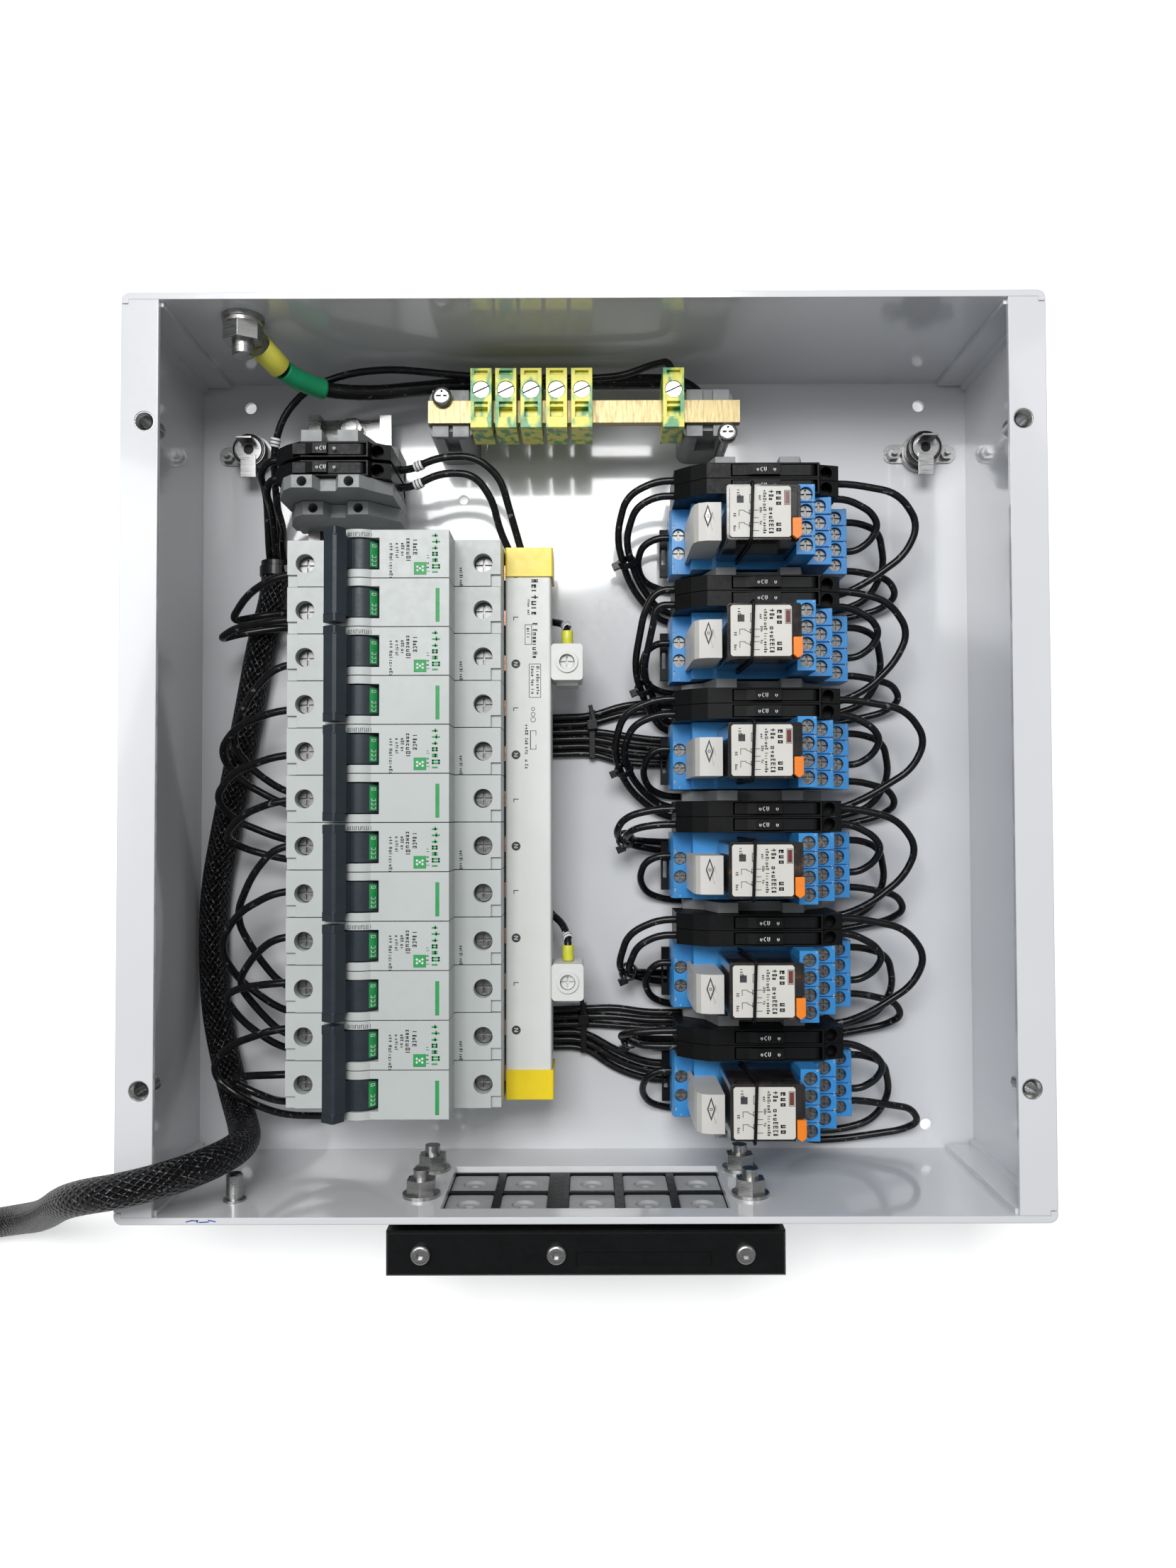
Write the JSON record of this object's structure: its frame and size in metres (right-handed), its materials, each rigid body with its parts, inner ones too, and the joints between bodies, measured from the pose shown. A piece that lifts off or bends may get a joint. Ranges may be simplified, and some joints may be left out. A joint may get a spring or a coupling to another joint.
{
  "type": "switchboard cabinet",
  "caption": "Open shallow steel wall box with rail-mounted circuit breakers, plug-in relays, fused terminals, earth bar, wiring and a sleeved cable leaving its front.",
  "frame": {"origin": "centre of the outer face of the enclosure's back, which lies on the floor", "axes": "+X to the right and +Y up for someone facing the open front, +Z out of the open front"},
  "size_m": [0.485, 0.3745, 0.1055],
  "materials": {
    "painted_steel": "glossy light grey powder paint",
    "zinc_steel": "zinc-plated",
    "black_plastic": "satin",
    "grey_rubber": "matt",
    "tinned_copper": "tinned, with yellow sleeve",
    "brass": "satin, slightly tarnished",
    "grey_plastic": "satin",
    "green_yellow_plastic": "mottled green and yellow",
    "white_plastic": "fine satin texture",
    "yellow_plastic": "gloss",
    "copper": "bright",
    "blue_plastic": "satin gloss",
    "smoked_plastic": "smoked, cream labels",
    "warm_white_plastic": "satin",
    "slate_plastic": "satin",
    "thermostat_metal": "black disc in a zinc cup",
    "black_wire": "satin insulation",
    "orange_plastic": "gloss",
    "black_sleeve": "woven braid"
  },
  "bodies": {
    "cabinet": {"enclosure_wrap": "painted_steel", "left_side_panel": "painted_steel", "right_side_panel": "painted_steel", "cover_rivet_nuts": "zinc_steel", "cable_entry_frame": "black_plastic", "cable_entry_clamp_bar": "black_plastic", "cable_entry_grommets": "grey_rubber", "cable_entry_screws": "zinc_steel", "cable_entry_bolts": "zinc_steel", "earth_studs": "zinc_steel", "earth_lug": "tinned_copper", "din_rails": "zinc_steel", "rail_fasteners": "zinc_steel", "pe_bar": "brass", "pe_supports": "grey_plastic", "pe_terminals": "green_yellow_plastic", "pe_screws": "zinc_steel", "feed_through_terminals": "grey_plastic", "breaker_casings": "white_plastic", "terminal_screws": "zinc_steel", "busbar_cover": "white_plastic", "busbar_end_caps": "yellow_plastic", "busbar_comb": "copper", "feed_connectors": "white_plastic", "relay_sockets": "blue_plastic", "relays": "smoked_plastic", "relay_modules": "warm_white_plastic", "relay_clips": "black_plastic", "rail_clips": "black_plastic", "fuse_terminals": "black_plastic", "thermostats": "thermostat_metal", "wires": "black_wire", "loom_sleeve": "black_sleeve", "loom_connector": "black_plastic"},
    "breaker_toggle_1": {"breaker_toggle_1": "slate_plastic"},
    "breaker_toggle_2": {"breaker_toggle_2": "slate_plastic"},
    "breaker_toggle_3": {"breaker_toggle_3": "slate_plastic"},
    "breaker_toggle_4": {"breaker_toggle_4": "slate_plastic"},
    "breaker_toggle_5": {"breaker_toggle_5": "slate_plastic"},
    "breaker_toggle_6": {"breaker_toggle_6": "slate_plastic"},
    "test_button_1": {"test_button_1": "orange_plastic"},
    "test_button_2": {"test_button_2": "orange_plastic"},
    "test_button_3": {"test_button_3": "orange_plastic"},
    "test_button_4": {"test_button_4": "orange_plastic"},
    "test_button_5": {"test_button_5": "orange_plastic"},
    "test_button_6": {"test_button_6": "orange_plastic"},
    "fuse_lever_1": {"fuse_lever_1": "black_plastic"},
    "fuse_lever_2": {"fuse_lever_2": "black_plastic"},
    "fuse_lever_3": {"fuse_lever_3": "black_plastic"},
    "fuse_lever_4": {"fuse_lever_4": "black_plastic"},
    "fuse_lever_5": {"fuse_lever_5": "black_plastic"},
    "fuse_lever_6": {"fuse_lever_6": "black_plastic"},
    "fuse_lever_7": {"fuse_lever_7": "black_plastic"},
    "fuse_lever_8": {"fuse_lever_8": "black_plastic"},
    "fuse_lever_9": {"fuse_lever_9": "black_plastic"},
    "fuse_lever_10": {"fuse_lever_10": "black_plastic"},
    "fuse_lever_11": {"fuse_lever_11": "black_plastic"},
    "fuse_lever_12": {"fuse_lever_12": "black_plastic"},
    "terminal_lever_1": {"terminal_lever_1": "black_plastic"},
    "terminal_lever_2": {"terminal_lever_2": "black_plastic"}
  },
  "joints": [
    {"name": "toggle_1", "type": "hinge", "parent": "cabinet", "child": "breaker_toggle_1", "pos_m": [-0.083, 0.065, 0.0682], "axis": [0, 1, 0], "range_deg": [0, 68]},
    {"name": "toggle_2", "type": "hinge", "parent": "cabinet", "child": "breaker_toggle_2", "pos_m": [-0.083, 0.029, 0.0682], "axis": [0, 1, 0], "range_deg": [0, 68]},
    {"name": "toggle_3", "type": "hinge", "parent": "cabinet", "child": "breaker_toggle_3", "pos_m": [-0.083, -0.007, 0.0682], "axis": [0, 1, 0], "range_deg": [0, 68]},
    {"name": "toggle_4", "type": "hinge", "parent": "cabinet", "child": "breaker_toggle_4", "pos_m": [-0.083, -0.043, 0.0682], "axis": [0, 1, 0], "range_deg": [0, 68]},
    {"name": "toggle_5", "type": "hinge", "parent": "cabinet", "child": "breaker_toggle_5", "pos_m": [-0.083, -0.079, 0.0682], "axis": [0, 1, 0], "range_deg": [0, 68]},
    {"name": "toggle_6", "type": "hinge", "parent": "cabinet", "child": "breaker_toggle_6", "pos_m": [-0.083, -0.115, 0.0682], "axis": [0, 1, 0], "range_deg": [0, 68]},
    {"name": "test_press_1", "type": "slide", "parent": "cabinet", "child": "test_button_1", "axis": [0, 0, -1], "range_m": [0, 0.0015], "stiffness_N_per_m": 300},
    {"name": "test_press_2", "type": "slide", "parent": "cabinet", "child": "test_button_2", "axis": [0, 0, -1], "range_m": [0, 0.0015], "stiffness_N_per_m": 300},
    {"name": "test_press_3", "type": "slide", "parent": "cabinet", "child": "test_button_3", "axis": [0, 0, -1], "range_m": [0, 0.0015], "stiffness_N_per_m": 300},
    {"name": "test_press_4", "type": "slide", "parent": "cabinet", "child": "test_button_4", "axis": [0, 0, -1], "range_m": [0, 0.0015], "stiffness_N_per_m": 300},
    {"name": "test_press_5", "type": "slide", "parent": "cabinet", "child": "test_button_5", "axis": [0, 0, -1], "range_m": [0, 0.0015], "stiffness_N_per_m": 300},
    {"name": "test_press_6", "type": "slide", "parent": "cabinet", "child": "test_button_6", "axis": [0, 0, -1], "range_m": [0, 0.0015], "stiffness_N_per_m": 300},
    {"name": "fuse_hinge_1", "type": "hinge", "parent": "cabinet", "child": "fuse_lever_1", "pos_m": [0.0885, 0.106, 0.0475], "axis": [0, 1, 0], "range_deg": [0, 85]},
    {"name": "fuse_hinge_2", "type": "hinge", "parent": "cabinet", "child": "fuse_lever_2", "pos_m": [0.0885, 0.1122, 0.0475], "axis": [0, 1, 0], "range_deg": [0, 85]},
    {"name": "fuse_hinge_3", "type": "hinge", "parent": "cabinet", "child": "fuse_lever_3", "pos_m": [0.0885, 0.0619, 0.0475], "axis": [0, 1, 0], "range_deg": [0, 85]},
    {"name": "fuse_hinge_4", "type": "hinge", "parent": "cabinet", "child": "fuse_lever_4", "pos_m": [0.0885, 0.0681, 0.0475], "axis": [0, 1, 0], "range_deg": [0, 85]},
    {"name": "fuse_hinge_5", "type": "hinge", "parent": "cabinet", "child": "fuse_lever_5", "pos_m": [0.0885, 0.0178, 0.0475], "axis": [0, 1, 0], "range_deg": [0, 85]},
    {"name": "fuse_hinge_6", "type": "hinge", "parent": "cabinet", "child": "fuse_lever_6", "pos_m": [0.0885, 0.024, 0.0475], "axis": [0, 1, 0], "range_deg": [0, 85]},
    {"name": "fuse_hinge_7", "type": "hinge", "parent": "cabinet", "child": "fuse_lever_7", "pos_m": [0.0885, -0.0263, 0.0475], "axis": [0, 1, 0], "range_deg": [0, 85]},
    {"name": "fuse_hinge_8", "type": "hinge", "parent": "cabinet", "child": "fuse_lever_8", "pos_m": [0.0885, -0.0201, 0.0475], "axis": [0, 1, 0], "range_deg": [0, 85]},
    {"name": "fuse_hinge_9", "type": "hinge", "parent": "cabinet", "child": "fuse_lever_9", "pos_m": [0.0885, -0.0704, 0.0475], "axis": [0, 1, 0], "range_deg": [0, 85]},
    {"name": "fuse_hinge_10", "type": "hinge", "parent": "cabinet", "child": "fuse_lever_10", "pos_m": [0.0885, -0.0642, 0.0475], "axis": [0, 1, 0], "range_deg": [0, 85]},
    {"name": "fuse_hinge_11", "type": "hinge", "parent": "cabinet", "child": "fuse_lever_11", "pos_m": [0.0885, -0.1145, 0.0475], "axis": [0, 1, 0], "range_deg": [0, 85]},
    {"name": "fuse_hinge_12", "type": "hinge", "parent": "cabinet", "child": "fuse_lever_12", "pos_m": [0.0885, -0.1083, 0.0475], "axis": [0, 1, 0], "range_deg": [0, 85]},
    {"name": "terminal_hinge_1", "type": "hinge", "parent": "cabinet", "child": "terminal_lever_1", "pos_m": [-0.0865, 0.1112, 0.0555], "axis": [0, 1, 0], "range_deg": [0, 85]},
    {"name": "terminal_hinge_2", "type": "hinge", "parent": "cabinet", "child": "terminal_lever_2", "pos_m": [-0.0865, 0.1185, 0.0555], "axis": [0, 1, 0], "range_deg": [0, 85]}
  ]
}
